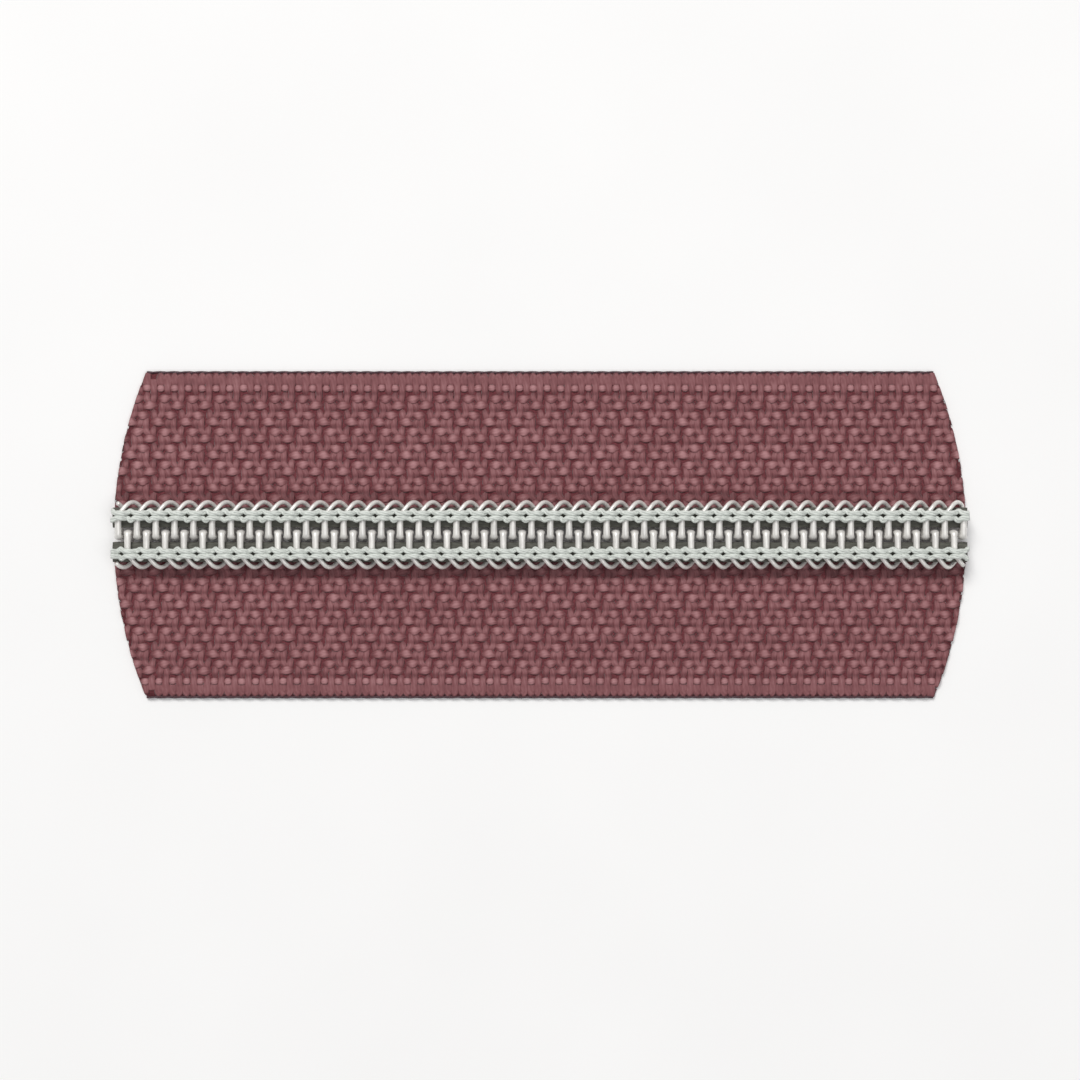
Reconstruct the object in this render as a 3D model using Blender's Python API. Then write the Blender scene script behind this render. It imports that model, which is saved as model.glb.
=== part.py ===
"""A cut length of coil zipper chain: two woven tapes, each with a plastic coil sewn along its inner edge.

Frame: X runs along the chain, Y across it and Z up, with the coils on the upper face. The origin is on the
underside, in the middle of the chain. The left stringer (tape and coil) is on the +Y side and the right one
on the -Y side. Both ends are trimmed to one circle about the middle. All lengths are in metres.

Each tape is one cloth on the real chain. Here it is a band that carries the coil and a wing that folds
along the line just outside the coil, so the wing's origin is on that fold line.
"""

import math

import bmesh
import bpy

MM = 0.001

# The chain as a whole
CHAIN_WIDTH = 30.0 * MM
CUT_RADIUS = 39.05 * MM
PITCH = 1.709 * MM
SLACK = 0.02 * MM  # between pieces that touch on the real chain

# The tape
TAPE_THICKNESS = 0.50 * MM
TAPE_INNER_EDGE = 0.60 * MM
FOLD_LINE = 4.20 * MM
FOLD_GAP = 0.72 * MM  # lets the wing turn past upright without meeting the band
CATCH_THREAD = 0.36 * MM
CUT_ARC_POINTS = 9

# The coil's wire, and the shape of one turn
WIRE = 0.60 * MM
LEG_RISE = 1.20 * MM  # from the lower leg's centre to the upper leg's
HEAD_TIP = 0.52 * MM  # how far a head reaches past the middle of the chain
HEAD_SWELL = 1.2
HEAD_ANGLES = (-90, -30, 30, 90)
HEEL_START = 2.25 * MM
HEEL_REACH = 0.72 * MM
HEEL_ANGLES = (90, 45, 0, -45, -90)
LEAN_PLACES = (1.10 * MM, 1.70 * MM)  # points on the legs, which lean along X beyond the first
LEAN = 0.30  # by this much times the square of the millimetres beyond it
TURNS = 46

# What is sewn round the coil
CORE_WIDTH = 1.86 * MM
CORE_HEIGHT = 0.54 * MM
CORE_PLACE = 1.57 * MM
ROWS = {"inner": 1.42 * MM, "outer": 2.05 * MM}
NEEDLE_THREAD = 0.36 * MM
NEEDLE_DIP = 0.50 * MM
CREST_FLAT = 0.36 * MM  # half of the level stretch over a leg
DIP_FLAT = 0.24 * MM  # half of the level stretch between two legs
LOOPER_WIDTH = 0.44 * MM
LOOPER_THICKNESS = 0.16 * MM
GROOVE_WIDTH = 0.50 * MM
GROOVE_DEPTH = 0.20 * MM

LOWER_LEG = TAPE_THICKNESS + SLACK + WIRE / 2
COIL_MIDDLE = LOWER_LEG + LEG_RISE / 2
UPPER_LEG = LOWER_LEG + LEG_RISE
COIL_TOP = UPPER_LEG + WIRE / 2
FIRST_LEG = -(TURNS - 1) / 2 * PITCH + 0.075 * MM  # the left coil's first upper leg

# name: (colour, roughness, metallic)
FINISHES = {
    "woven_tape": ((0.215, 0.091, 0.098, 1), 0.85, 0.0),
    "silver_coil": ((0.58, 0.56, 0.54, 1), 0.35, 0.6),
    "core_cord": ((0.16, 0.13, 0.12, 1), 0.9, 0.0),
    "sewing_thread": ((0.52, 0.54, 0.52, 1), 0.6, 0.0),
    "edge_thread": ((0.16, 0.07, 0.085, 1), 0.85, 0.0),
}


def clear_scene():
    for obj in list(bpy.data.objects):
        bpy.data.objects.remove(obj, do_unlink=True)


def new_collection(name, is_hidden=False):
    collection = bpy.data.collections.new(name)
    collection.hide_render = is_hidden
    bpy.context.scene.collection.children.link(collection)
    return collection


def finish(name):
    """The Principled material of this name, made the first time it is asked for."""
    material = bpy.data.materials.get(name)
    if material is None:
        colour, roughness, metallic = FINISHES[name]
        material = bpy.data.materials.new(name)
        material.use_nodes = True
        shader = material.node_tree.nodes["Principled BSDF"]
        shader.inputs["Base Color"].default_value = colour
        shader.inputs["Roughness"].default_value = roughness
        shader.inputs["Metallic"].default_value = metallic
        material.diffuse_color = colour
    return material


def new_axis(name, place, parent=None):
    """An empty that a moving group hangs on, at its joint."""
    empty = bpy.data.objects.new(name, None)
    empty.location = place
    empty.empty_display_size = 5 * MM
    empty.parent = parent
    parts.objects.link(empty)
    return empty


def add_part(name, data, parent, finish_name, is_round=False):
    obj = bpy.data.objects.new(name, data)
    obj.parent = parent
    data.materials.append(finish(finish_name))
    if is_round and obj.type == "MESH":
        data.shade_smooth()
    parts.objects.link(obj)
    return obj


def poly_curve(name, points, is_cyclic=False, radii=None):
    curve = bpy.data.curves.new(name, "CURVE")
    curve.dimensions = "3D"
    spline = curve.splines.new("POLY")
    spline.points.add(len(points) - 1)
    for i, (point, at) in enumerate(zip(spline.points, points)):
        point.co = (*at, 1)
        point.radius = radii[i] if radii else 1
    spline.use_cyclic_u = is_cyclic
    spline.use_smooth = True
    return curve


def wire_curve(name, points, diameter, resolution, radii=None):
    """A round wire along the points, with closed ends. It has 4 + 2 x resolution sides."""
    curve = poly_curve(name, points, radii=radii)
    curve.bevel_depth = diameter / 2
    curve.bevel_resolution = resolution
    curve.use_fill_caps = True
    return curve


def cut_end(y):
    """How far the trimmed end is from the middle of the chain, at this distance across it."""
    return math.sqrt(CUT_RADIUS**2 - y**2)


def tape_outline(side, inner, outer, origin_y):
    """The strip of tape between two distances from the middle, with its ends on the cutting circle."""
    steps = [inner + (outer - inner) * i / (CUT_ARC_POINTS - 1) for i in range(CUT_ARC_POINTS)]
    right_end = [(cut_end(y), side * y - origin_y, 0) for y in steps]
    left_end = [(-cut_end(y), side * y - origin_y, 0) for y in reversed(steps)]
    return right_end + left_end


def tape_curve(name, side, inner, outer, origin_y):
    curve = poly_curve(name, tape_outline(side, inner, outer, origin_y), is_cyclic=True)
    curve.dimensions = "2D"
    curve.fill_mode = "BOTH"
    curve.extrude = TAPE_THICKNESS / 2
    return curve


def mesh_of(name, curve):
    """The curve as a mesh, with the edges of its faces and caps joined."""
    holder = bpy.data.objects.new(name + "_curve", curve)
    bpy.context.scene.collection.objects.link(holder)
    graph = bpy.context.evaluated_depsgraph_get()
    mesh = bpy.data.meshes.new_from_object(holder.evaluated_get(graph))
    bpy.data.objects.remove(holder, do_unlink=True)
    work = bmesh.new()
    work.from_mesh(mesh)
    bmesh.ops.remove_doubles(work, verts=work.verts, dist=0.001 * MM)
    bmesh.ops.recalc_face_normals(work, faces=work.faces)
    work.to_mesh(mesh)
    work.free()
    mesh.name = name
    mesh.materials.clear()
    return mesh


def box_mesh(name, size):
    mesh = bpy.data.meshes.new(name)
    work = bmesh.new()
    bmesh.ops.create_cube(work, size=1)
    bmesh.ops.scale(work, vec=size, verts=work.verts)
    work.to_mesh(mesh)
    work.free()
    return mesh


def first_leg(side):
    """Where the first upper leg is along X. The right coil's legs stand midway between the left coil's."""
    return FIRST_LEG if side > 0 else FIRST_LEG + PITCH / 2


def legs(side):
    """Where the upper legs are along X, with one too many at each end for the trimming to take off."""
    return [first_leg(side) + k * PITCH for k in range(-1, TURNS + 1)]


def trimmed(points, thickness):
    """The points of a wire or thread that lie inside the cutting circle by half its thickness."""
    return [at for at in points if abs(at[0]) < cut_end(at[1]) - thickness / 2]


def lean(out):
    """How far along X a leg leans at this distance out."""
    return LEAN * (out - LEAN_PLACES[0]) ** 2 / MM


def coil_turn(start):
    """One turn from its lower leg's inner end: up round the head, out along the upper leg, down round the
    heel, which carries the wire on by one pitch, and in along the next lower leg. Points are (x, distance
    out, z, swell)."""
    rise = LEG_RISE / 2
    tip_angle = math.radians(HEAD_ANGLES[2])
    head_centre = rise * math.cos(tip_angle) + HEAD_SWELL * WIRE / 2 - HEAD_TIP
    turn = []
    for degrees in HEAD_ANGLES:
        angle = math.radians(degrees)
        swell = HEAD_SWELL if abs(degrees) < 90 else 1
        out = head_centre - rise * math.cos(angle)
        turn.append((start, out, COIL_MIDDLE + rise * math.sin(angle), swell))
    turn += [(start + lean(out), out, UPPER_LEG, 1) for out in LEAN_PLACES]
    for degrees in HEEL_ANGLES:
        angle = math.radians(degrees)
        along = start + lean(HEEL_START) + PITCH * (90 - degrees) / 180
        out = HEEL_START + HEEL_REACH * math.cos(angle)
        turn.append((along, out, COIL_MIDDLE + rise * math.sin(angle), 1))
    turn += [(start + PITCH + lean(out), out, LOWER_LEG, 1) for out in reversed(LEAN_PLACES)]
    return turn


def add_coil(prefix, side, parent):
    """The wire bent into loops, and cut where the chain is trimmed."""
    route = trimmed([point for start in legs(side) for point in coil_turn(start)], WIRE)
    points = [(x, side * out, z) for x, out, z, _ in route]
    swells = [swell for *_, swell in route]
    curve = wire_curve(f"{prefix}_coil", points, WIRE, 1, radii=swells)
    add_part(f"{prefix}_coil", curve, parent, "silver_coil")


def add_core_cord(prefix, side, parent):
    """The cord that fills the coil, an oval of twisted yarn held by the stitches."""
    name = f"{prefix}_core_cord"
    reach = cut_end(CORE_PLACE + CORE_WIDTH / 2) - SLACK
    curve = wire_curve(name, [(-reach, 0, 0), (reach, 0, 0)], 1, 3)
    mesh = mesh_of(name, curve)
    work = bmesh.new()
    work.from_mesh(mesh)
    bmesh.ops.scale(work, vec=(1, CORE_WIDTH, CORE_HEIGHT), verts=work.verts)
    work.to_mesh(mesh)
    work.free()
    obj = add_part(name, mesh, parent, "core_cord", is_round=True)
    obj.location = (0, side * CORE_PLACE, COIL_MIDDLE)


def add_needle_thread(prefix, side, row, place, parent):
    """The thread on the face: over each upper leg, and down between the legs at each stitch."""
    name = f"{prefix}_needle_thread_{row}"
    crest = COIL_TOP + SLACK + NEEDLE_THREAD / 2
    route = []
    for leg in legs(side):
        over = leg + lean(place)
        route += [(over - CREST_FLAT, place, crest), (over + CREST_FLAT, place, crest)]
        between = over + PITCH / 2
        low = crest - NEEDLE_DIP
        route += [(between - DIP_FLAT, place, low), (between + DIP_FLAT, place, low)]
    points = [(x, side * out, z) for x, out, z in trimmed(route, NEEDLE_THREAD)]
    add_part(name, wire_curve(name, points, NEEDLE_THREAD, 0), parent, "sewing_thread")


def add_looper_thread(prefix, side, row, place, parent):
    """The chained thread on the back, sunk in the tape by the pull of the stitches."""
    name = f"{prefix}_looper_thread_{row}"
    length = 2 * (cut_end(place + LOOPER_WIDTH) - SLACK)
    mesh = box_mesh(name, (length, LOOPER_WIDTH, LOOPER_THICKNESS))
    obj = add_part(name, mesh, parent, "sewing_thread")
    obj.location = (0, side * place, SLACK + LOOPER_THICKNESS / 2)


def add_tape_band(prefix, side, parent):
    """The tape's inner band, under the coil, with a furrow on its back under each row of stitches."""
    name = f"{prefix}_tape_band"
    outer = FOLD_LINE - FOLD_GAP / 2
    mesh = mesh_of(name, tape_curve(name, side, TAPE_INNER_EDGE, outer, 0))
    band = add_part(name, mesh, parent, "woven_tape")
    band.location = (0, 0, TAPE_THICKNESS / 2)
    for row, place in ROWS.items():
        cutter_name = f"{prefix}_{row}_furrow"
        size = (3 * CUT_RADIUS, GROOVE_WIDTH, 2 * GROOVE_DEPTH)
        cutter = bpy.data.objects.new(cutter_name, box_mesh(cutter_name, size))
        cutter.location = (0, side * place, 0)
        cutter.hide_render = True
        cutter.display_type = "WIRE"
        cutters.objects.link(cutter)
        furrow = band.modifiers.new(row + "_furrow", "BOOLEAN")
        furrow.operation = "DIFFERENCE"
        furrow.object = cutter


def add_tape_wing(prefix, side, hinge):
    """The tape outside the fold line, which is sewn to a garment."""
    name = f"{prefix}_tape_wing"
    inner = FOLD_LINE + FOLD_GAP / 2
    outer = CHAIN_WIDTH / 2 - CATCH_THREAD - SLACK
    curve = tape_curve(name, side, inner, outer, side * FOLD_LINE)
    add_part(name, mesh_of(name, curve), hinge, "woven_tape")


def add_catch_thread(prefix, side, hinge):
    """The thread along the selvedge that locks the weft's loops."""
    name = f"{prefix}_selvedge_catch_thread"
    reach = cut_end(CHAIN_WIDTH / 2) - SLACK
    across = side * (CHAIN_WIDTH / 2 - CATCH_THREAD / 2 - FOLD_LINE)
    curve = wire_curve(name, [(-reach, across, 0), (reach, across, 0)], CATCH_THREAD, 2)
    add_part(name, curve, hinge, "edge_thread")


def add_stringer(prefix, side, frame):
    """One tape with its coil, cord and threads. The wing hangs on the fold line's axis."""
    add_coil(prefix, side, frame)
    add_core_cord(prefix, side, frame)
    add_tape_band(prefix, side, frame)
    for row, place in ROWS.items():
        add_needle_thread(prefix, side, row, place, frame)
        add_looper_thread(prefix, side, row, place, frame)
    fold = new_axis(f"{prefix}_fold_axis", (0, side * FOLD_LINE, TAPE_THICKNESS / 2), frame)
    add_tape_wing(prefix, side, fold)
    add_catch_thread(prefix, side, fold)


clear_scene()
parts = new_collection("zipper_chain")
cutters = new_collection("cutters", is_hidden=True)
add_stringer("left", 1, new_axis("left_stringer_frame", (0, 0, 0)))
add_stringer("right", -1, new_axis("right_stringer_slide", (0, 0, 0)))
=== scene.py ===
import math

import bpy
import numpy as np
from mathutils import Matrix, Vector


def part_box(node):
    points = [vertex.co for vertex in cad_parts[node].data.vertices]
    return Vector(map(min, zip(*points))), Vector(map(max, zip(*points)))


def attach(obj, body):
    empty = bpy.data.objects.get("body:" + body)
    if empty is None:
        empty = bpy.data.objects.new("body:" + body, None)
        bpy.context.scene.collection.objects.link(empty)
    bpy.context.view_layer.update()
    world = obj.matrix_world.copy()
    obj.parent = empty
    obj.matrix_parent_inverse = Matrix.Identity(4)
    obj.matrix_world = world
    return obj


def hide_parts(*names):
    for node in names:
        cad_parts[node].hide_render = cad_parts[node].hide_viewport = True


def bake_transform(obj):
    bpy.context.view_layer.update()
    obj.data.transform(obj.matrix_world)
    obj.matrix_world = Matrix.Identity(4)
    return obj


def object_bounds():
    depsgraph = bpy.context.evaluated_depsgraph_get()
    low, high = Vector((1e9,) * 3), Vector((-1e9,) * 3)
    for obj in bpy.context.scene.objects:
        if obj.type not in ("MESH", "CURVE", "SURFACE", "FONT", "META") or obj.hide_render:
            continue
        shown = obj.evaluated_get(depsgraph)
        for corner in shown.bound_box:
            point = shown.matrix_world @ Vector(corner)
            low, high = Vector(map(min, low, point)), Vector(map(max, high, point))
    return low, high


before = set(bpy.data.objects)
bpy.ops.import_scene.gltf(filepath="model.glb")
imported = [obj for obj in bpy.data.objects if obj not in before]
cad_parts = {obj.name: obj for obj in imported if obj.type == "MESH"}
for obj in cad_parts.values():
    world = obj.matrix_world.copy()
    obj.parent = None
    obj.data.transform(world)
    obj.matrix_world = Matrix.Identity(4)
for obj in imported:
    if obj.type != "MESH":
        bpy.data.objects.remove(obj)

# Metres throughout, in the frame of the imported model: X along the chain, Y across it, Z up off the back.
MM = 0.001
cad_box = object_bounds()

# ---- Ground cloth -------------------------------------------------------------------------------
# Each tape is woven of textured polyester. This is the closed body of the cloth that its yarns stand out
# from: it is what shows, dark, at the bottom of the weave. Its rows lie close together along the fold line
# beside the coil.

SIDES = {"left": 1, "right": -1}
band_low, band_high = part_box("left_tape_band")
wing_low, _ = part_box("left_tape_wing")
_, edge_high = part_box("left_selvedge_catch_thread")
CUT_RADIUS = math.hypot(band_high.x, band_low.y)
TAPE_INNER = band_low.y
TAPE_OUTER = edge_high.y
TAPE_MIDDLE = (band_low.z + band_high.z) / 2
FOLD_START = band_high.y - 0.15 * MM
FOLD_END = wing_low.y + 0.15 * MM
GROUND_MARGIN = 0.10 * MM
GROUND_THICKNESS = 0.06 * MM
# The tape's colour from its darkest painted shade, through its own mid tone, to its palest painted crest
# highlight
TAPE_SHADED_TO_LIT = ((0.105, 0.029, 0.034), (0.212, 0.073, 0.080), (0.400, 0.192, 0.203))
STITCH_ROWS = (1.42 * MM, 2.05 * MM)
STITCH_FADE = 0.35 * MM  # over which the pressed strip along the stitches ends
STITCH_LIFT = 0.09 * MM
STITCH_PRESS = 0.35  # the share of a yarn's height and crimp lost where it is stitched


def cut_end(y):
    """Half the chain's length at a distance y across it: both ends are cut to one circle."""
    return np.sqrt(CUT_RADIUS**2 - np.square(y))


def smooth_step(t):
    """0 below 0 and 1 above 1, with a slope of nothing at either end."""
    t = np.clip(t, 0, 1)
    return t * t * (3 - 2 * t)


def bell(distance, reach):
    """1 at no distance and near 0 beyond twice the reach: e to the minus (distance / reach) squared."""
    return np.exp(-np.square(distance / reach))


def stitched(out):
    """1 on the strip that the two rows of stitches press and 0 away from it."""
    starts = smooth_step((out - STITCH_ROWS[0] + 2 * STITCH_FADE) / STITCH_FADE)
    ends = smooth_step((STITCH_ROWS[1] + 2 * STITCH_FADE - out) / STITCH_FADE)
    return starts * ends


def cloth_middle(out):
    """Height of the cloth's middle. The threads chained on the back lift it where it is stitched."""
    return TAPE_MIDDLE + STITCH_LIFT * stitched(out)


def new_material(name, roughness, metallic=0.0, specular=0.5, sheen=0.0):
    """An empty Principled material. Returns its nodes, its links and the shader."""
    material = bpy.data.materials.new(name)
    material.use_nodes = True
    nodes, links = material.node_tree.nodes, material.node_tree.links
    shader = nodes["Principled BSDF"]
    shader.inputs["Roughness"].default_value = roughness
    shader.inputs["Metallic"].default_value = metallic
    shader.inputs["Specular IOR Level"].default_value = specular
    shader.inputs["Sheen Weight"].default_value = sheen
    shader.inputs["Sheen Roughness"].default_value = 0.4
    return material, nodes, links, shader


def math_node(nodes, links, operation, first, second):
    """One Math node. Each input is a socket or a number."""
    node = nodes.new("ShaderNodeMath")
    node.operation = operation
    for i, value in enumerate((first, second)):
        if isinstance(value, (int, float)):
            node.inputs[i].default_value = value
        else:
            links.new(value, node.inputs[i])
    return node.outputs[0]


def colour_ramp(nodes, links, value, stops):
    """A colour between stops, each (place, colour)."""
    ramp = nodes.new("ShaderNodeValToRGB")
    elements = ramp.color_ramp.elements
    for element, (place, colour) in zip(elements, (stops[0], stops[-1])):
        element.position = place
        element.color = (*colour, 1)
    for place, colour in stops[1:-1]:
        elements.new(place).color = (*colour, 1)
    links.new(value, ramp.inputs[0])
    return ramp.outputs["Color"]


def object_noise(nodes, links, scale, detail=2.0, stretch=(1, 1, 1)):
    """Noise on the piece's own place in metres, with its grain stretched along an axis."""
    place = nodes.new("ShaderNodeTexCoord")
    mapping = nodes.new("ShaderNodeMapping")
    mapping.inputs["Scale"].default_value = stretch
    noise = nodes.new("ShaderNodeTexNoise")
    noise.inputs["Scale"].default_value = scale
    noise.inputs["Detail"].default_value = detail
    links.new(place.outputs["Object"], mapping.inputs["Vector"])
    links.new(mapping.outputs["Vector"], noise.inputs["Vector"])
    return noise.outputs["Fac"]


def times(colour, factor):
    return tuple(min(1.0, c * factor) for c in colour)


def add_bump(nodes, links, shader, height, distance, strength=1.0):
    bump = nodes.new("ShaderNodeBump")
    bump.inputs["Distance"].default_value = distance
    bump.inputs["Strength"].default_value = strength
    links.new(height, bump.inputs["Height"])
    links.new(bump.outputs["Normal"], shader.inputs["Normal"])


def ground_material():
    """The inside of the cloth, between its yarns: painted in the tape's darkest painted-shade colour, as it
    lies in shade, with a fibre grain.
    """
    material, nodes, links, shader = new_material("tape_ground", 0.95, specular=0.1)
    grain = object_noise(nodes, links, 6000, detail=3)
    stops = [(0.3, TAPE_SHADED_TO_LIT[0]), (0.7, times(TAPE_SHADED_TO_LIT[0], 1.7))]
    links.new(colour_ramp(nodes, links, grain, stops), shader.inputs["Base Color"])
    add_bump(nodes, links, shader, grain, 0.02 * MM)
    return material


def new_piece(name, points, faces, material, is_smooth=True):
    mesh = bpy.data.meshes.new(name)
    mesh.from_pydata(points.reshape(-1, 3), [], faces)
    mesh.materials.append(material)
    if is_smooth:
        mesh.shade_smooth()
    piece = bpy.data.objects.new(name, mesh)
    bpy.context.scene.collection.objects.link(piece)
    return piece or piece


def add_ground(prefix, side, material):
    """A strip between the tape's edges: x = u times the cut end there, y = v, with rows close together
    along the fold line. Solidify gives it its thickness."""
    inner, outer = TAPE_INNER + GROUND_MARGIN, TAPE_OUTER - GROUND_MARGIN
    out = np.concatenate(
        [
            np.linspace(inner, FOLD_START, 12, endpoint=False),
            np.linspace(FOLD_START, FOLD_END, 12, endpoint=False),
            np.linspace(FOLD_END, outer, 12),
        ]
    )
    along = np.linspace(-1, 1, 41)
    u, v = np.meshgrid(along, out, indexing="ij")
    points = np.stack([u * (cut_end(v) - GROUND_MARGIN), side * v, cloth_middle(v)], axis=-1)
    row = np.arange(len(along) - 1)[:, None] * len(out)
    corner = row + np.arange(len(out) - 1)
    faces = np.stack([corner, corner + len(out), corner + len(out) + 1, corner + 1], axis=-1).reshape(-1, 4)
    if side < 0:
        faces = faces[:, ::-1]
    piece = new_piece(f"{prefix}_ground_cloth", points, faces.tolist(), material)
    thicken = piece.modifiers.new("thickness", "SOLIDIFY")
    thicken.thickness = GROUND_THICKNESS
    thicken.offset = 0
    return piece


ground = ground_material()
ground_cloths = {prefix: add_ground(prefix, side, ground) for prefix, side in SIDES.items()}

# ---- Warp ---------------------------------------------------------------------------------------
# The yarns that run the length of the tape, drawn two to a dent of the reed, so they lie in pairs with a
# groove between. Each floats over two picks and under two. Beside the selvedge they are plain woven.

PICK = 0.632 * MM
DENT = 1.514 * MM
INNERMOST_WARP = 0.86 * MM
OUTERMOST_PAIR = 12.14 * MM
PLAIN_WARP = 13.42 * MM
SELVEDGE_WARPS = (13.90 * MM, 14.22 * MM, 14.54 * MM)
PAIRS = 8
PAIR_SPREAD = 0.32 * MM  # each yarn of a pair from the pair's middle
NESTLE = 0.04 * MM  # how far the yarn on top leans over the one under it
TWILL_CYCLE = 4
PLAIN_CYCLE = 2
PLAIN_FLATNESS = 0.9
WARP_WIDTH = 0.86 * MM  # at the crest of a float
WARP_WAIST = 0.55  # of its width, where it passes down between two picks
PLAIN_WARP_WIDTH = 0.66 * MM
FINE_WARP_WIDTH = 0.26 * MM
WARP_HEIGHT = 0.22 * MM
WARP_CRIMP = 0.130 * MM
WEFT_CRIMP = 0.065 * MM
LINE_SINK = 0.05 * MM  # how far the weft is drawn down between two pairs of warps
WARP_STEPS = 494
GATHER = 0.13 * MM  # how far the wefts of a cell are drawn together
HOLE = 0.25 * MM  # how far the two wefts beside the small hole in each cell are pushed apart
HOLE_REACH = 0.28 * MM
HOLE_SPREAD = 0.10 * MM  # how far the two warps beside it are pushed apart
GROOVE_SINK = 0.09 * MM  # how far a warp sinks between one cell and the next
WARP_DRAW_REACH = 0.45  # in picks, of that sink and of the spread beside a hole
FIRST_PICK = {"left": -1.88 * MM, "right": -1.24 * MM}
SKEW = {"left": 0.0, "right": 0.06}
WOBBLE = 0.028 * MM  # how far a yarn strays from its place
WANDERS = (2.2 * MM, 4 * MM, 8 * MM)  # the shortest length of each of its waves
YARN_SIDES = 8
FULL_STAND = 0.24 * MM  # a warp's crest from the cloth's middle
RIPPLE = 0.17  # of a yarn's wound filaments, against its fine fibres
# How the tape's painted light and shade follow a point's height, with the weights of fibres, each yarn's own
# tone and slow patches
PAINTED_LIGHT_POWER = 1.7
PAINTED_LIGHT_WEIGHT, FIBRE_WEIGHT, TONE_WEIGHT, PATCH_WEIGHT = 0.62, 0.22, 0.12, 0.45
SHADED_TO_LIT_PLACES = (0.22, 0.52, 0.98)
# How much painted shade darkens the yarns' colour in each kind of recess, and its reach: in picks along the
# tape, in metres across
HOLE_SHADE, HOLE_LENGTH, HOLE_WIDTH = 0.85, 0.5, 0.20 * MM
GROOVE_SHADE, GROOVE_LENGTH, GROOVE_WIDTH = 0.65, 0.22, 0.75 * MM
LINE_SHADE, LINE_WIDTH = 0.45, 0.11 * MM
VALLEY = 3.68 * MM  # a line beside the coil where the cloth is drawn down; its shade is painted into the yarns' colour, the cloth's shape isn't changed
VALLEY_REACH = 0.34 * MM
VALLEY_SHADE = 0.65
EDGE_START = 13.5 * MM  # from here out the weft lies flat over the fine warps
EDGE_REACH = 0.4 * MM
EDGE_LIGHT_RISE = 0.012 * MM  # how much further from the cloth's middle the selvedge's yarns count, which paints the face paler


def warp_yarns(side):
    """Each yarn of a tape, from the inside out: its distance out, the pick it first rises on, its cycle in
    picks, its width, which way it leans, and 1 if it bends over the picks or 0 if it stays under them."""
    yarns = [(INNERMOST_WARP, 1, PLAIN_CYCLE, FINE_WARP_WIDTH, 0, 1)]
    for k in reversed(range(PAIRS)):
        middle = OUTERMOST_PAIR - k * DENT
        far, near = (0, 2) if k % 2 == 0 else (1, 3)
        if side < 0:
            far, near = near, far
        yarns.append((middle - PAIR_SPREAD, near, TWILL_CYCLE, WARP_WIDTH, 1, 1))
        yarns.append((middle + PAIR_SPREAD, far, TWILL_CYCLE, WARP_WIDTH, -1, 1))
    yarns.append((PLAIN_WARP, 0, PLAIN_CYCLE, PLAIN_WARP_WIDTH, 0, 1))
    for out in SELVEDGE_WARPS:
        yarns.append((out, 0, PLAIN_CYCLE, FINE_WARP_WIDTH, 0, 0))
    return yarns


def is_raised(pick, first, cycle, bends):
    """1 where the warp passes over this pick and -1 where it passes under."""
    return np.where(bends * ((pick - first) % cycle < cycle / 2), 1.0, -1.0)


def warp_lift(place, first, cycle, bends):
    """The warp's rise at any place counted in picks: a cosine that peaks at the middle of each float. In
    the plain rows its peaks are flattened by a share of wave x (1 - wave squared)."""
    peak = first + cycle / 4 - 0.5
    wave = np.cos(2 * np.pi * (place - peak) / cycle)
    flat = np.where(cycle == PLAIN_CYCLE, PLAIN_FLATNESS, 0)
    return np.where(bends, wave * (1 + flat * (1 - wave**2)), -1.0)


def from_hole(pick, out):
    """Picks from the nearest small hole. It moves by one pick from each pair of warps to the next."""
    hole = 1.0 + 0.5 * np.cos(np.pi * (OUTERMOST_PAIR - out) / DENT)
    return (pick - hole + TWILL_CYCLE / 2) % TWILL_CYCLE - TWILL_CYCLE / 2


def gather(pick, out):
    """How far a weft is drawn along X, in picks: towards the hole, by a sine with a cell's period, and
    pushed back beside the hole by a bump that dies away in both directions."""
    away = from_hole(pick, out)
    from_pair = (OUTERMOST_PAIR - out + DENT / 2) % DENT - DENT / 2
    fade = smooth_step((OUTERMOST_PAIR + DENT / 2 - out) / (DENT / 2))
    drawn = -GATHER * np.sin(2 * np.pi * away / TWILL_CYCLE)
    pushed = HOLE * 2 * away * np.exp(1 - 4 * away**2) * bell(from_pair, HOLE_REACH)
    return fade * (drawn + pushed) / PICK


def frames_along(centres, hint):
    """At each point of each line: the way along it, the hint made square to that, and the way up."""
    along = np.gradient(centres, axis=1)
    along /= np.linalg.norm(along, axis=-1, keepdims=True)
    across = hint - along * (along * hint).sum(-1, keepdims=True)
    across /= np.linalg.norm(across, axis=-1, keepdims=True)
    return along, across, np.cross(along, across)


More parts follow.
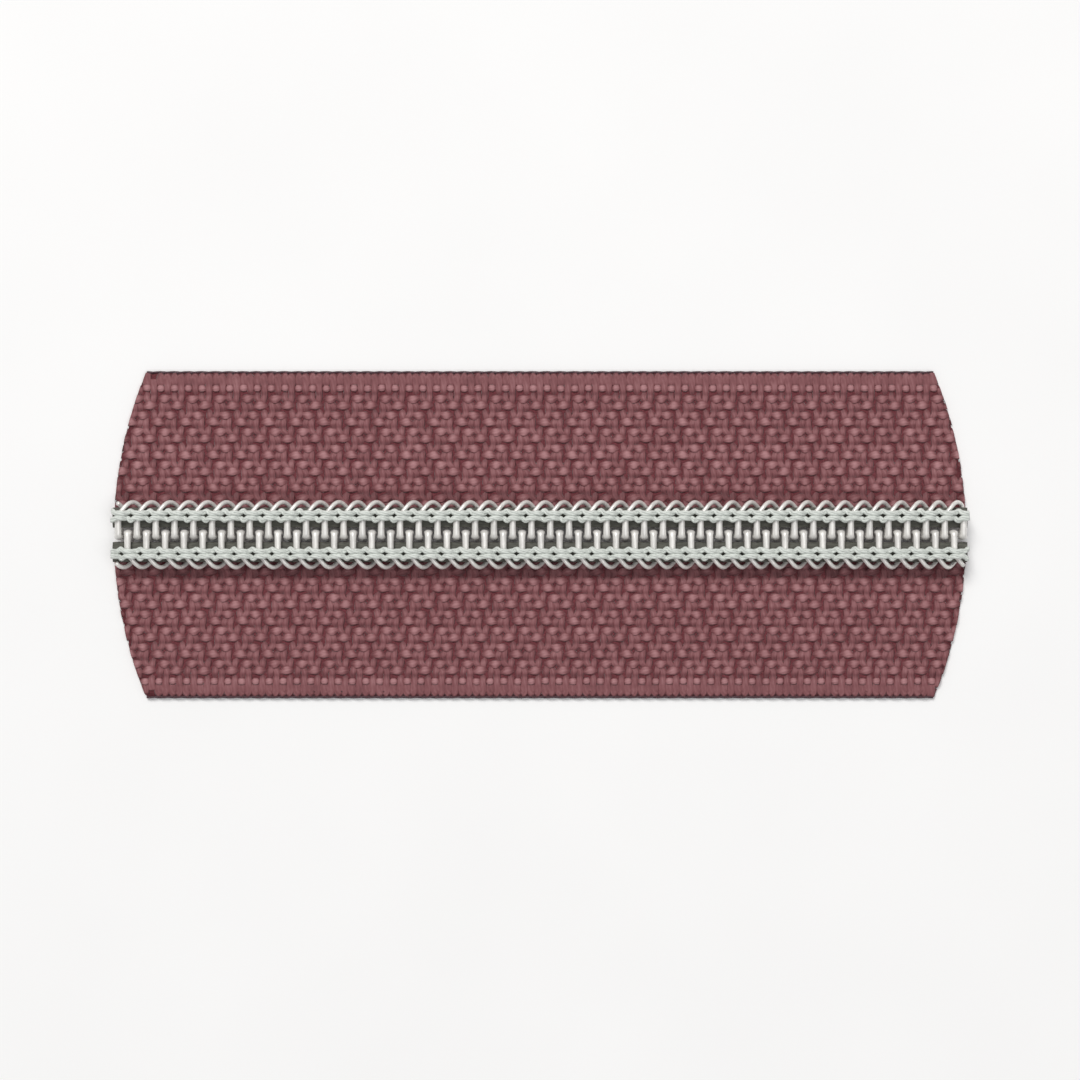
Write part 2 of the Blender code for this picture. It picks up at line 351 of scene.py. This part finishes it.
def sweep(name, centres, hint, half_width, half_height, sides, material, tones=None):
    """An oval carried along each centre line: centre + across x half width x cos(turn) + up x half height
    x sin(turn). centres is lines x steps x 3, and the halves are numbers or lines x steps. What would pass
    the cutting circle is cut to it, and the ends are closed. The UV map holds the length along the line in
    millimetres, and the share of a turn round it."""
    lines, steps = centres.shape[:2]
    _, across, up = frames_along(centres, np.asarray(hint, float))
    turn = 2 * np.pi * np.arange(sides) / sides
    wide = np.broadcast_to(half_width, (lines, steps))[..., None, None]
    high = np.broadcast_to(half_height, (lines, steps))[..., None, None]
    ring = across[:, :, None] * wide * np.cos(turn)[:, None] + up[:, :, None] * high * np.sin(turn)[:, None]
    points = centres[:, :, None] + ring
    end = cut_end(points[..., 1])
    points[..., 0] = np.clip(points[..., 0], -end, end)
    index = np.arange(lines * steps * sides).reshape(lines, steps, sides)
    after = np.roll(index, -1, axis=2)
    quads = np.stack([index[:, :-1], after[:, :-1], after[:, 1:], index[:, 1:]], axis=-1)
    caps = np.concatenate([index[:, 0, ::-1], index[:, -1]])
    piece = new_piece(name, points, quads.reshape(-1, 4).tolist() + caps.tolist(), material)

    gone = np.concatenate(
        [np.zeros((lines, 1)), np.cumsum(np.linalg.norm(np.diff(centres, axis=1), axis=-1), axis=1)], axis=1
    ) / MM
    v = np.broadcast_to(np.arange(sides) / sides, (lines, steps - 1, sides))
    start = np.broadcast_to(gone[:, :-1, None], v.shape)
    end = np.broadcast_to(gone[:, 1:, None], v.shape)
    far = v + 1 / sides
    uv = np.stack([np.stack([start, start, end, end], -1), np.stack([v, far, far, v], -1)], -1)
    cap_uv = np.broadcast_to([0.5, 0.5], (caps.size, 2))
    layer = piece.data.uv_layers.new(name="yarn")
    layer.uv.foreach_set("vector", np.concatenate([uv.reshape(-1, 2), cap_uv]).astype(np.float32).ravel())
    tone = piece.data.attributes.new("tone", "FLOAT", "POINT")
    tone.data.foreach_set("value", np.repeat(tones or [0.0] * lines, steps * sides).astype(np.float32))
    return piece


def recess(place, out):
    """How much the yarns lie in each other's shade at a place counted in picks, from 0 to 1: in the small
    hole in the middle of each cell, in the groove between a cell and the next along the tape, and in the
    line that the reed leaves between two pairs of warps."""
    pair = np.clip(np.round((OUTERMOST_PAIR - out) / DENT), 0, PAIRS - 1)
    from_pair = out - OUTERMOST_PAIR + pair * DENT
    hole = 1.5 - pair % 2
    away = (place - hole + TWILL_CYCLE / 2) % TWILL_CYCLE - TWILL_CYCLE / 2
    in_hole = HOLE_SHADE * bell(away, HOLE_LENGTH) * bell(from_pair, HOLE_WIDTH)
    from_groove = TWILL_CYCLE / 2 - np.abs(away)
    in_groove = GROOVE_SHADE * bell(from_groove, GROOVE_LENGTH) * bell(from_pair, GROOVE_WIDTH)
    in_line = LINE_SHADE * bell(np.abs(from_pair) - DENT / 2, LINE_WIDTH)
    return 1 - (1 - in_hole) * (1 - in_groove) * (1 - in_line)


def mark_painted_light_and_shade(piece, prefix, side):
    """An attribute that paints light and shade into the tape's colour: how far each point stands from the
    cloth's middle, so that deep points are painted darker and crests paler, less in a recess and in the
    valley beside the coil, for painted shade there. At the selvedge the flat weft counts as standing a
    little further out, which paints it paler."""
    points = np.empty(3 * len(piece.data.vertices), np.float32)
    piece.data.vertices.foreach_get("co", points)
    x, y, z = points.reshape(-1, 3).T
    out = side * y
    place = (x - FIRST_PICK[prefix] - SKEW[prefix] * y) / PICK
    stand = np.abs(z - cloth_middle(out) + EDGE_LIGHT_RISE * smooth_step((out - EDGE_START) / EDGE_REACH))
    # Painted shade: a darker line along the valley beside the coil, and darker yarns in each recess
    painted_valley_shade = 1 - VALLEY_SHADE * bell(out - VALLEY, VALLEY_REACH)
    value = np.clip(stand / FULL_STAND, 0, 1) * painted_valley_shade * (1 - recess(place, out))
    painted_light = piece.data.attributes.new("painted_light", "FLOAT", "POINT")
    painted_light.data.foreach_set("value", value.astype(np.float32))
    return piece


def spun_fibre(nodes, links, filaments, turns_per_mm, stretch):
    """Height of a yarn's surface: a ripple round it that winds along it, with fine fibres over it."""
    uv = nodes.new("ShaderNodeUVMap")
    uv.uv_map = "yarn"
    split = nodes.new("ShaderNodeSeparateXYZ")
    links.new(uv.outputs["UV"], split.inputs[0])
    wound = math_node(nodes, links, "MULTIPLY", split.outputs["X"], 2 * math.pi * turns_per_mm)
    round_it = math_node(nodes, links, "MULTIPLY", split.outputs["Y"], 2 * math.pi * filaments)
    ripple = math_node(nodes, links, "SINE", math_node(nodes, links, "ADD", wound, round_it), 0)
    ripple = math_node(nodes, links, "MULTIPLY", ripple, RIPPLE)
    fibres = object_noise(nodes, links, 8000, detail=3, stretch=stretch)
    return math_node(nodes, links, "ADD", ripple, fibres)


def tape_yarn_material(name, filaments, turns_per_mm, stretch):
    """Dyed polyester, with painted shade deep between the yarns and a painted highlight on their crests.
    Fibres, each yarn's own tone and a slow drift over the tape vary it."""
    material, nodes, links, shader = new_material(name, 0.58, specular=0.35, sheen=0.2)
    fibre = spun_fibre(nodes, links, filaments, turns_per_mm, stretch)
    painted_light = nodes.new("ShaderNodeAttribute")
    painted_light.attribute_name = "painted_light"
    tone = nodes.new("ShaderNodeAttribute")
    tone.attribute_name = "tone"
    patches = object_noise(nodes, links, 700, detail=2)
    steep = math_node(nodes, links, "POWER", painted_light.outputs["Fac"], PAINTED_LIGHT_POWER)
    shade = math_node(nodes, links, "MULTIPLY", steep, PAINTED_LIGHT_WEIGHT)
    parts = ((fibre, FIBRE_WEIGHT), (tone.outputs["Fac"], TONE_WEIGHT), (patches, PATCH_WEIGHT))
    for part, weight in parts:
        shade = math_node(nodes, links, "ADD", shade, math_node(nodes, links, "MULTIPLY", part, weight))
    stops = list(zip(SHADED_TO_LIT_PLACES, TAPE_SHADED_TO_LIT))
    links.new(colour_ramp(nodes, links, shade, stops), shader.inputs["Base Color"])
    add_bump(nodes, links, shader, fibre, 0.03 * MM)
    return material


def wobble(along, draw):
    """A slow wander of each line: three sines of the distance along, with drawn lengths and phases."""
    wander = np.zeros_like(along)
    for shortest in WANDERS:
        length = shortest * draw.uniform(1, 1.8, (len(along), 1))
        wander += np.sin(2 * np.pi * along / length + draw.uniform(0, 2 * np.pi, (len(along), 1)))
    return WOBBLE * wander / 2


def add_warp(prefix, side, material):
    yarns = warp_yarns(side)
    draw = np.random.default_rng(11 if side > 0 else 12)
    out, first, cycle, width, lean, bends = (np.array(column)[:, None] for column in zip(*yarns))
    x = np.linspace(-1, 1, WARP_STEPS) * (cut_end(out) + width / 2)
    place = (x - FIRST_PICK[prefix] - SKEW[prefix] * side * out) / PICK
    place = place - gather(place, out)
    lift = warp_lift(place, first, cycle, bends)
    press = 1 - STITCH_PRESS * stitched(out)
    middle = np.broadcast_to(cloth_middle(out), x.shape)
    away = from_hole(place, out + lean * PAIR_SPREAD)
    is_paired = np.abs(lean)
    drawn = NESTLE * lift**2 - HOLE_SPREAD * bell(away, WARP_DRAW_REACH)
    y = side * (out + lean * drawn) + wobble(x, draw)
    sink = is_paired * GROOVE_SINK * bell(TWILL_CYCLE / 2 - np.abs(away), WARP_DRAW_REACH)
    piece = sweep(
        f"{prefix}_warp",
        np.stack([x, y, middle + (lift * WARP_CRIMP - sink) * press], axis=-1),
        (0, 1, 0),
        width / 2 * (WARP_WAIST + (1 - WARP_WAIST) * lift**2 * (2 - lift**2)),
        WARP_HEIGHT / 2 * press,
        YARN_SIDES,
        material,
        draw.uniform(-0.5, 0.5, len(yarns)).tolist(),
    )
    return mark_painted_light_and_shade(piece, prefix, side)


warp_yarn = tape_yarn_material("tape_warp_yarn", 7, 0.9, (0.3, 1, 1))
warps = {prefix: add_warp(prefix, side, warp_yarn) for prefix, side in SIDES.items()}

# ---- Weft ---------------------------------------------------------------------------------------
# One yarn on each tape, carried back and forth across it by the loom's needle and turned at both edges.
# It passes over and under the warps in turn. Beyond the square ends it is cut, with the tape, to the arc.

WEFT_WIDTH = 0.66 * MM
EDGE_WEFT_WIDTH = 0.82 * MM
WEFT_HEIGHT = 0.20 * MM
EDGE_WEFT_HEIGHT = 0.10 * MM
WEFT_STEPS = 84
TURN_STEPS = 6
INNER_TURN = TAPE_INNER + WEFT_WIDTH / 2 + PICK / 2
OUTER_TURN_MARGIN = 0.42 * MM
OUTER_TURN = TAPE_OUTER - OUTER_TURN_MARGIN - PICK / 2
CUT_MARGIN = 0.15 * MM
LINE_REACH = 0.20 * MM
FIRST_WEFT, LAST_WEFT = -66, 71  # enough to pass both ends of the chain


def pick_x(prefix, side, pick, out):
    return FIRST_PICK[prefix] + SKEW[prefix] * side * out + PICK * (pick + gather(pick, out))


def weft_height(side, pick, out):
    """Height of a weft: on the other side of each warp from it, and easing over between two of them."""
    rows, first, cycle, _, _, bends = (np.array(column) for column in zip(*warp_yarns(side)))
    place = np.interp(out, rows, np.arange(len(rows)))
    inner = np.minimum(place.astype(int), len(rows) - 2)
    here = is_raised(pick, first[inner], cycle[inner], bends[inner])
    after = is_raised(pick, first[inner + 1], cycle[inner + 1], bends[inner + 1])
    lift = here + (after - here) * smooth_step(place - inner)
    from_line = (OUTERMOST_PAIR - out) % DENT - DENT / 2
    drawn = LINE_SINK * bell(from_line, LINE_REACH) * (out < OUTERMOST_PAIR + DENT)
    return cloth_middle(out) - (lift * WEFT_CRIMP + drawn) * (1 - STITCH_PRESS * stitched(out))


def weft_points(prefix, side, pick, out):
    pick, out = np.broadcast_arrays(pick.astype(float), out)
    return np.stack([pick_x(prefix, side, pick, out), side * out, weft_height(side, pick, out)], axis=-1)


def turned_weft(runs, picks, side):
    """The whole picks as one line. Odd picks run inwards, and half a circle joins each to the next."""
    is_inward = picks % 2 == 1
    runs[is_inward] = runs[is_inward, ::-1]
    leaves, meets = runs[:-1, -1:], runs[1:, :1]
    angle = np.pi * np.arange(1, TURN_STEPS + 1) / (TURN_STEPS + 1)
    share = (0.5 - 0.5 * np.cos(angle))[:, None]
    turns = leaves + (meets - leaves) * share
    outwards = np.where(is_inward[:-1], -1, 1)[:, None] * side
    turns[..., 1] += outwards * PICK / 2 * np.sin(angle)
    body = np.concatenate([runs[:-1], turns], axis=1).reshape(-1, 3)
    return np.concatenate([body, runs[-1]])[None]


def cut_weft(prefix, side, picks):
    """The picks past the square ends, each from the inner edge to where the circle cuts it. The cut is
    found by going back and forth a few times between a pick's place along X and the circle's reach."""
    reach = np.full(len(picks), TAPE_OUTER / 2)
    for _ in range(6):
        x = pick_x(prefix, side, picks.astype(float), reach)
        reach = np.sqrt(np.maximum(CUT_RADIUS**2 - x**2, 0))
    is_real = reach > INNER_TURN + PICK
    reach = np.minimum(reach, TAPE_OUTER - CUT_MARGIN)[is_real, None]
    start = INNER_TURN - PICK / 2
    return weft_points(
        prefix, side, picks[is_real, None], start + (reach - start) * np.linspace(0, 1, WEFT_STEPS)
    )


def add_wefts(prefix, side, material):
    picks = np.arange(FIRST_WEFT, LAST_WEFT + 1)
    draw = np.random.default_rng(21 if side > 0 else 22)
    runs = weft_points(prefix, side, picks[:, None], np.linspace(INNER_TURN, OUTER_TURN, WEFT_STEPS))
    runs[..., 0] += wobble(runs[..., 1], draw)
    is_whole = (np.hypot(runs[..., 0], runs[..., 1]) < CUT_RADIUS - PICK).all(axis=1)
    whole = turned_weft(runs[is_whole], picks[is_whole], side)
    cut = cut_weft(prefix, side, picks[~is_whole])
    tones = ([0.0], draw.uniform(-0.4, 0.4, len(cut)).tolist())
    wefts = []
    for name, lines, tone in zip(("weft", "cut_weft"), (whole, cut), tones):
        out = np.abs(lines[..., 1])
        spread = smooth_step((out - EDGE_START) / EDGE_REACH)
        width = WEFT_WIDTH + (EDGE_WEFT_WIDTH - WEFT_WIDTH) * spread
        height = WEFT_HEIGHT + (EDGE_WEFT_HEIGHT - WEFT_HEIGHT) * spread
        piece = sweep(
            f"{prefix}_{name}",
            lines,
            (1, 0.02, 0),
            width / 2,
            height / 2,
            YARN_SIDES,
            material,
            tone,
        )
        wefts.append(mark_painted_light_and_shade(piece, prefix, side))
    return wefts


weft_yarn = tape_yarn_material("tape_weft_yarn", 6, 0.7, (1, 0.3, 1))
wefts = {prefix: add_wefts(prefix, side, weft_yarn) for prefix, side in SIDES.items()}

for prefix, side in SIDES.items():
    cloth = ground_cloths[prefix]
    yarns = [warps[prefix], *wefts[prefix]]
    for piece in [cloth, *yarns]:
        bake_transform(piece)
    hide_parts(f"{prefix}_tape_band", f"{prefix}_tape_wing")

# ---- Selvedge catch threads ---------------------------------------------------------------------
# A fine thread knitted along each outer edge, which locks the loops of the weft so that they can't ladder.
# Two strands cross at each loop.

CATCH_STRAND = 0.17 * MM
CATCH_SWAY = 0.045 * MM
CATCH_STEPS = 900
# Darker than the tape: painted shade for the dark line along the tape's outer edge
CATCH_SHADED_COLOUR = (0.080, 0.040, 0.050)


def strand_pair(centre_y, centre_z, reach, period, sway, rise, steps):
    """Two strands along X that change sides every half period: y = sway x sin and z = rise x cos for the
    one, and both turned about for the other. Returns 2 x steps x 3."""
    x = np.linspace(-reach, reach, steps)
    turn = np.pi * x / period
    return np.stack(
        [
            np.stack([x, centre_y + hand * sway * np.sin(turn), centre_z + hand * rise * np.cos(turn)], -1)
            for hand in (1, -1)
        ]
    )


def thread_material(name, colour, filaments, turns_per_mm, depth, roughness, specular):
    """Twisted thread: painted light on the back of each bundle of filaments and painted shade between two,
    over the fibres' own uneven tone.
    """
    material, nodes, links, shader = new_material(name, roughness, specular=specular, sheen=0.15)
    fibre = spun_fibre(nodes, links, filaments, turns_per_mm, (0.3, 1, 1))
    stops = [(0.20, times(colour, 0.72)), (0.50, colour), (0.80, times(colour, 1.12))]
    links.new(colour_ramp(nodes, links, fibre, stops), shader.inputs["Base Color"])
    add_bump(nodes, links, shader, fibre, depth)
    return material


def add_catch_thread(prefix, side, material):
    low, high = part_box(f"{prefix}_selvedge_catch_thread")
    across = side * (TAPE_OUTER - CATCH_STRAND / 2 - CATCH_SWAY)
    half = CATCH_STRAND / 2
    lines = strand_pair(
        across, (low.z + high.z) / 2, high.x, 2 * PICK, CATCH_SWAY, 2 * CATCH_SWAY, CATCH_STEPS
    )
    piece = sweep(f"{prefix}_catch_thread", lines, (0, 1, 0), half, half, 8, material)
    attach(piece, f"{prefix}_wing")
    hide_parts(f"{prefix}_selvedge_catch_thread")


catch_yarn = thread_material("catch_thread_yarn", CATCH_SHADED_COLOUR, 5, 1.5, 0.02 * MM, 0.7, 0.3)
for prefix, side in SIDES.items():
    add_catch_thread(prefix, side, catch_yarn)

# ---- Coils --------------------------------------------------------------------------------------
# One plastic wire a side, bent hot into flattened loops and silvered. Each loop's head is pressed wider than
# the wire, so that it snaps between two heads of the other coil. The loops are sewn down on the tape.

coil_low, coil_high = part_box("left_coil")
WIRE = 0.60 * MM
PITCH = 1.709 * MM
TURNS = 46
LEG_SHIFT = 0.075 * MM
FIRST_LEG = -(TURNS - 1) / 2 * PITCH + LEG_SHIFT
WIRE_SIDES = 14
HEAD_SWELL = 1.36
HEAD_FLATTEN = 0.88
HEAD_SQUARENESS = 4.0
HEEL_THINNING = 0.66  # the wire is drawn thinner round the heel
LEG_RISE = coil_high.z - coil_low.z - WIRE
COIL_MIDDLE = (coil_low.z + coil_high.z) / 2
HEAD_CENTRE = coil_low.y + WIRE * HEAD_FLATTEN / 2 + LEG_RISE / 2
HEEL_CENTRE = 2.25 * MM
HEEL_REACH = coil_high.y - WIRE / 2 - HEEL_CENTRE
LEAN_START = 1.10 * MM
LEAN = 0.30
COIL_COLOUR = (0.84, 0.82, 0.79)


def lean(out):
    """How far along X a leg leans at this distance out: as the square of the way past the lean's start."""
    return LEAN * np.square(np.maximum(out - LEAN_START, 0)) / MM


def coil_turn():
    """One turn, as distance out, height and way along X. Half a squared circle turns it up round the head,
    the upper leg runs out, half an oval takes it down round the heel while it moves on by one pitch, and
    the lower leg runs in."""
    head = np.linspace(-np.pi / 2, np.pi / 2, 15)
    power = 2 / HEAD_SQUARENESS
    share = np.linspace(0, 1, 15)
    heel = np.pi * (0.5 - share)
    leg = np.linspace(HEAD_CENTRE, HEEL_CENTRE, 9)[1:-1]
    rise = LEG_RISE / 2
    turned_up = np.sign(head) * np.abs(np.sin(head)) ** power
    out = [
        HEAD_CENTRE - rise * np.cos(head) ** power,
        leg,
        HEEL_CENTRE + HEEL_REACH * np.cos(heel),
        leg[::-1],
    ]
    height = [rise * turned_up, rise + 0 * leg, rise * np.sin(heel), -rise + 0 * leg]
    moved = [0 * head, lean(leg), lean(HEEL_CENTRE) + PITCH * share, PITCH + lean(leg[::-1])]
    return np.concatenate(out), np.concatenate(height), np.concatenate(moved)


def first_leg(side):
    return FIRST_LEG if side > 0 else FIRST_LEG + PITCH / 2


def coil_route(side):
    """Every turn in line, cut where the chain is."""
    out, height, moved = coil_turn()
    x = first_leg(side) + PITCH * np.arange(-1, TURNS + 1)[:, None] + moved
    out, height = np.broadcast_to(out, x.shape), np.broadcast_to(height, x.shape)
    points = np.stack([x, side * out, COIL_MIDDLE + height], axis=-1).reshape(-1, 3)
    return points[np.abs(points[:, 0]) < cut_end(points[:, 1]) - WIRE / 2]


def coil_material():
    """Silvered plastic: a bright metal coat, worn duller in fine streaks, on a wire that isn't even."""
    material, nodes, links, shader = new_material("silvered_wire", 0.34, metallic=0.30)
    patches = object_noise(nodes, links, 700, detail=3)
    streaks = object_noise(nodes, links, 5000, detail=2, stretch=(1, 0.15, 1))
    both = math_node(nodes, links, "ADD", patches, streaks)
    worn = math_node(nodes, links, "MULTIPLY", both, 0.5)
    stops = [(0.32, times(COIL_COLOUR, 0.80)), (0.5, COIL_COLOUR), (0.7, times(COIL_COLOUR, 1.12))]
    links.new(colour_ramp(nodes, links, worn, stops), shader.inputs["Base Color"])
    rough = math_node(nodes, links, "MULTIPLY_ADD", worn, 0.35)
    rough.node.inputs[2].default_value = 0.18
    links.new(rough, shader.inputs["Roughness"])
    add_bump(nodes, links, shader, both, 0.008 * MM)
    return material


def add_coil(prefix, side, material):
    route = coil_route(side)
    out = side * route[:, 1]
    rise = 2 * (route[:, 2] - COIL_MIDDLE) / LEG_RISE
    is_head = smooth_step((HEAD_CENTRE - out) / (LEG_RISE / 2)) * (1 - rise**4)
    drawn = 1 + (HEEL_THINNING - 1) * smooth_step((out - STITCH_ROWS[0]) / (HEEL_CENTRE - LEAN_START))
    piece = sweep(
        f"{prefix}_coil_wire",
        route[None],
        (1, 0, 0),
        WIRE / 2 * drawn * (1 + (HEAD_SWELL - 1) * is_head),
        WIRE / 2 * drawn * (1 + (HEAD_FLATTEN - 1) * is_head),
        WIRE_SIDES,
        material,
    )
    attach(piece, f"{prefix}_stringer")
    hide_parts(f"{prefix}_coil")


silvered = coil_material()
for prefix, side in SIDES.items():
    add_coil(prefix, side, silvered)

# ---- Core cords ---------------------------------------------------------------------------------
# A soft cord of twisted polyester that fills each coil. The needle goes through it at each stitch, which
# holds the loops in place. It shows only as glimpses between the legs.

CORE_STRANDS = 7
CORE_LAY = 5.0 * MM
CORE_GROOVE = 0.07  # of the cord's radius, between two strands
CORE_STEPS = 320
CORE_SIDES = 42
# Far darker than the undyed cord: painted shade, so that it reads dark where it lies in the coil's shadow
CORE_SHADED_COLOUR = (0.14, 0.14, 0.12)


def add_core_cord(prefix, side, material):
    """An oval bundle: radius = 1 + a ripple for each strand, wound round once in each lay."""
    low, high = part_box(f"{prefix}_core_cord")
    middle, half = (low + high) / 2, (high - low) / 2
    x = np.linspace(low.x, high.x, CORE_STEPS)
    turn = 2 * np.pi * np.arange(CORE_SIDES) / CORE_SIDES
    wind = turn[None] - 2 * np.pi * x[:, None] / CORE_LAY
    swell = 1 - CORE_GROOVE + CORE_GROOVE * np.abs(np.cos(CORE_STRANDS * wind / 2)) ** 0.7
    points = np.stack(
        [
            np.broadcast_to(x[:, None], wind.shape),
            middle.y + half.y * swell * np.cos(turn),
            middle.z + half.z * swell * np.sin(turn),
        ],
        axis=-1,
    )
    index = np.arange(points.size // 3).reshape(wind.shape)
    after = np.roll(index, -1, axis=1)
    quads = np.stack([index[:-1], after[:-1], after[1:], index[1:]], axis=-1).reshape(-1, 4)[:, ::-1]
    caps = [index[0, ::-1].tolist(), index[-1].tolist()]
    piece = new_piece(f"{prefix}_filler_cord", points, quads.tolist() + caps, material)
    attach(piece, f"{prefix}_stringer")
    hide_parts(f"{prefix}_core_cord")


def core_material():
    """Bulky undyed yarn, coloured darker than it is as painted shade: fine fibres that run along the cord,
    some darker than others.
    """
    material, nodes, links, shader = new_material("core_yarn", 0.85, specular=0.2, sheen=0.3)
    fibres = object_noise(nodes, links, 7000, detail=3, stretch=(0.2, 1, 1))
    stops = [(0.3, times(CORE_SHADED_COLOUR, 0.55)), (0.7, CORE_SHADED_COLOUR)]
    links.new(colour_ramp(nodes, links, fibres, stops), shader.inputs["Base Color"])
    add_bump(nodes, links, shader, fibres, 0.03 * MM)
    return material


core_yarn = core_material()
for prefix, side in SIDES.items():
    add_core_cord(prefix, side, core_yarn)

# ---- Needle threads -----------------------------------------------------------------------------
# Bright three-ply polyester, two rows a side. It lies over each leg of the coil and goes down between two
# legs, through the core cord and the tape, where the looper's thread holds it.

_, thread_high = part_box("left_needle_thread_inner")
THREAD_PLIES = 3
THREAD_LAY = 2.6 * MM
THREAD_SPREAD = 0.115 * MM  # the plies' way from the thread's middle, sideways and up
THREAD_LOFT = 0.05 * MM
PLY = 0.29 * MM
ROW_TOUCH = 0.095 * MM  # how far each of the two rows is drawn to the other
EYE_OPENING = 0.22 * MM  # how far each is held off again, at the stitch between two legs
EYE_REACH = 0.21 * MM
EYE_PLACE = 0.34 * MM  # from midway between the legs
STITCH_DIP = 0.32 * MM
CREST_SHARE = 0.25  # of the way from a leg to midway between two, where the thread stays level
STITCH_STEPS = 20
THREAD_COLOUR = (0.66, 0.695, 0.655)


def twisted(route):
    """Plies wound round a route: route + across x spread x cos + up x loft x sin, once round in each lay."""
    _, across, up = frames_along(route[None], np.array([0.0, 1.0, 0.0]))
    gone = np.concatenate([[0], np.cumsum(np.linalg.norm(np.diff(route, axis=0), axis=1))])
    turn = 2 * np.pi * (gone / THREAD_LAY + np.arange(THREAD_PLIES)[:, None] / THREAD_PLIES)
    sideways = across * THREAD_SPREAD * np.cos(turn)[..., None]
    return route + sideways + up * THREAD_LOFT * np.sin(turn)[..., None]


def needle_route(side, out):
    """Over each leg at the crest and down between two: the drop eases with distance from the leg. The two
    rows touch, but for a bell-shaped opening at each stitch."""
    crest = thread_high.z - THREAD_LOFT - PLY / 2
    over = first_leg(side) + lean(out)
    x = over + PITCH * np.arange(-2, TURNS + 1, 1 / STITCH_STEPS)
    turns = (x - over) / PITCH
    from_leg = np.abs(turns - np.round(turns)) * 2
    z = crest - STITCH_DIP * smooth_step((from_leg - CREST_SHARE) / (1 - CREST_SHARE))
    towards = np.sign(sum(STITCH_ROWS) / 2 - out)
    from_eye = (x - first_leg(side) - EYE_PLACE) % PITCH - PITCH / 2
    sway = towards * (ROW_TOUCH - EYE_OPENING * bell(from_eye, EYE_REACH))
    route = np.stack([x, side * (out + sway), z], axis=-1)
    return route[np.abs(x) < cut_end(out)]


def add_needle_thread(prefix, side, row, out, material):
    body, node = f"{prefix}_stringer", f"{prefix}_needle_thread_{row}"
    plies = twisted(needle_route(side, out))
    piece = sweep(f"{node}_plies", plies, (0, 1, 0), PLY / 2, PLY / 2, 8, material)
    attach(piece, body)
    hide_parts(node)


bright_thread = thread_material("needle_thread_yarn", THREAD_COLOUR, 6, 1.4, 0.012 * MM, 0.42, 0.5)
for prefix, side in SIDES.items():
    for row, out in zip(("inner", "outer"), STITCH_ROWS):
        add_needle_thread(prefix, side, row, out, bright_thread)

# ---- Looper threads -----------------------------------------------------------------------------
# On the back, the looper's thread is chained through the needle thread's loops, two strands that cross at
# every stitch. The pull of the stitches sinks it in the tape.

looper_low, looper_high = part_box("left_looper_thread_inner")
LOOPER_STRAND = 0.17 * MM
LOOPER_SWAY = 0.15 * MM
LOOPER_RISE = 0.035 * MM
LOOPER_STEPS = 1100
LOOPER_MARGIN = 0.1 * MM
LOOPER_SHAPE = (1.25, 0.85)  # each strand's width and height, pressed flat, against its thickness


def add_looper_thread(prefix, side, row, out, material):
    node = f"{prefix}_looper_thread_{row}"
    middle = (looper_low.z + looper_high.z) / 2
    reach = float(cut_end(out)) - LOOPER_MARGIN
    lines = strand_pair(side * out, middle, reach, PITCH, LOOPER_SWAY, LOOPER_RISE, LOOPER_STEPS)
    wide, high = (share * LOOPER_STRAND / 2 for share in LOOPER_SHAPE)
    piece = sweep(f"{node}_chain", lines, (0, 1, 0), wide, high, 8, material)
    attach(piece, f"{prefix}_stringer")
    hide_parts(node)


for prefix, side in SIDES.items():
    for row, out in zip(("inner", "outer"), STITCH_ROWS):
        add_looper_thread(prefix, side, row, out, bright_thread)

# ---- Table, light and camera --------------------------------------------------------------------
# A pale table, one broad soft lamp over it with a weaker one opposite, and a long lens looking straight
# down on the face of the chain.

FLOOR_SIZE = 2.0
FLOOR_GAP = 0.01 * MM
WORLD_STRENGTH = 0.33
CAMERA_Y = -0.48 * MM
# Place, size, watts and colour
KEY_LAMP = ((-0.22, 0.66, 0.92), 0.50, 8.6, (1.0, 0.985, 0.965))
FILL_LAMP = ((0.30, -0.25, 1.15), 0.90, 3.4, (0.98, 0.985, 1.0))
CAMERA_LENS = 85.0
CAMERA_SENSOR = 36.0
FRAME_SHARE = 0.7898  # of the frame's width, the length of the chain
FRAME_WIDTH = 2 * CUT_RADIUS / FRAME_SHARE


def add_floor():
    material, nodes, links, shader = new_material("pale_table", 0.9, specular=0.1)
    grain = object_noise(nodes, links, 40)
    stops = [(0.3, (0.94, 0.94, 0.94)), (0.7, (0.96, 0.96, 0.96))]
    links.new(colour_ramp(nodes, links, grain, stops), shader.inputs["Base Color"])
    half = FLOOR_SIZE / 2
    z = cad_box[0].z - FLOOR_GAP
    points = np.array([(-half, -half, z), (half, -half, z), (half, half, z), (-half, half, z)])
    mesh = bpy.data.meshes.new("table_top")
    mesh.from_pydata(points, [], [(0, 1, 2, 3)])
    mesh.materials.append(material)
    floor = bpy.data.objects.new("table_top", mesh)
    bpy.context.scene.collection.objects.link(floor)


def add_lamp(name, place, size, watts, colour):
    data = bpy.data.lights.new(name, "AREA")
    data.size, data.energy, data.color = size, watts, colour
    lamp = bpy.data.objects.new(name, data)
    lamp.location = place
    direction = -lamp.location
    lamp.rotation_euler = direction.to_track_quat("-Z", "Y").to_euler()
    bpy.context.scene.collection.objects.link(lamp)


def add_camera():
    data = bpy.data.cameras.new("camera")
    data.lens, data.sensor_width = CAMERA_LENS, CAMERA_SENSOR
    data.clip_start, data.clip_end = 0.01, 10
    camera = bpy.data.objects.new("camera", data)
    distance = FRAME_WIDTH * CAMERA_LENS / CAMERA_SENSOR
    camera.location = (0, CAMERA_Y, band_high.z + distance)
    bpy.context.scene.collection.objects.link(camera)
    bpy.context.scene.camera = camera


add_floor()
add_lamp("key_lamp", *KEY_LAMP)
add_lamp("fill_lamp", *FILL_LAMP)
world = bpy.data.worlds.new("studio")
world.use_nodes = True
world.node_tree.nodes["Background"].inputs["Color"].default_value = (1.0, 1.0, 1.0, 1)
world.node_tree.nodes["Background"].inputs["Strength"].default_value = WORLD_STRENGTH
bpy.context.scene.world = world
bpy.context.scene.view_settings.view_transform = "Standard"
add_camera()
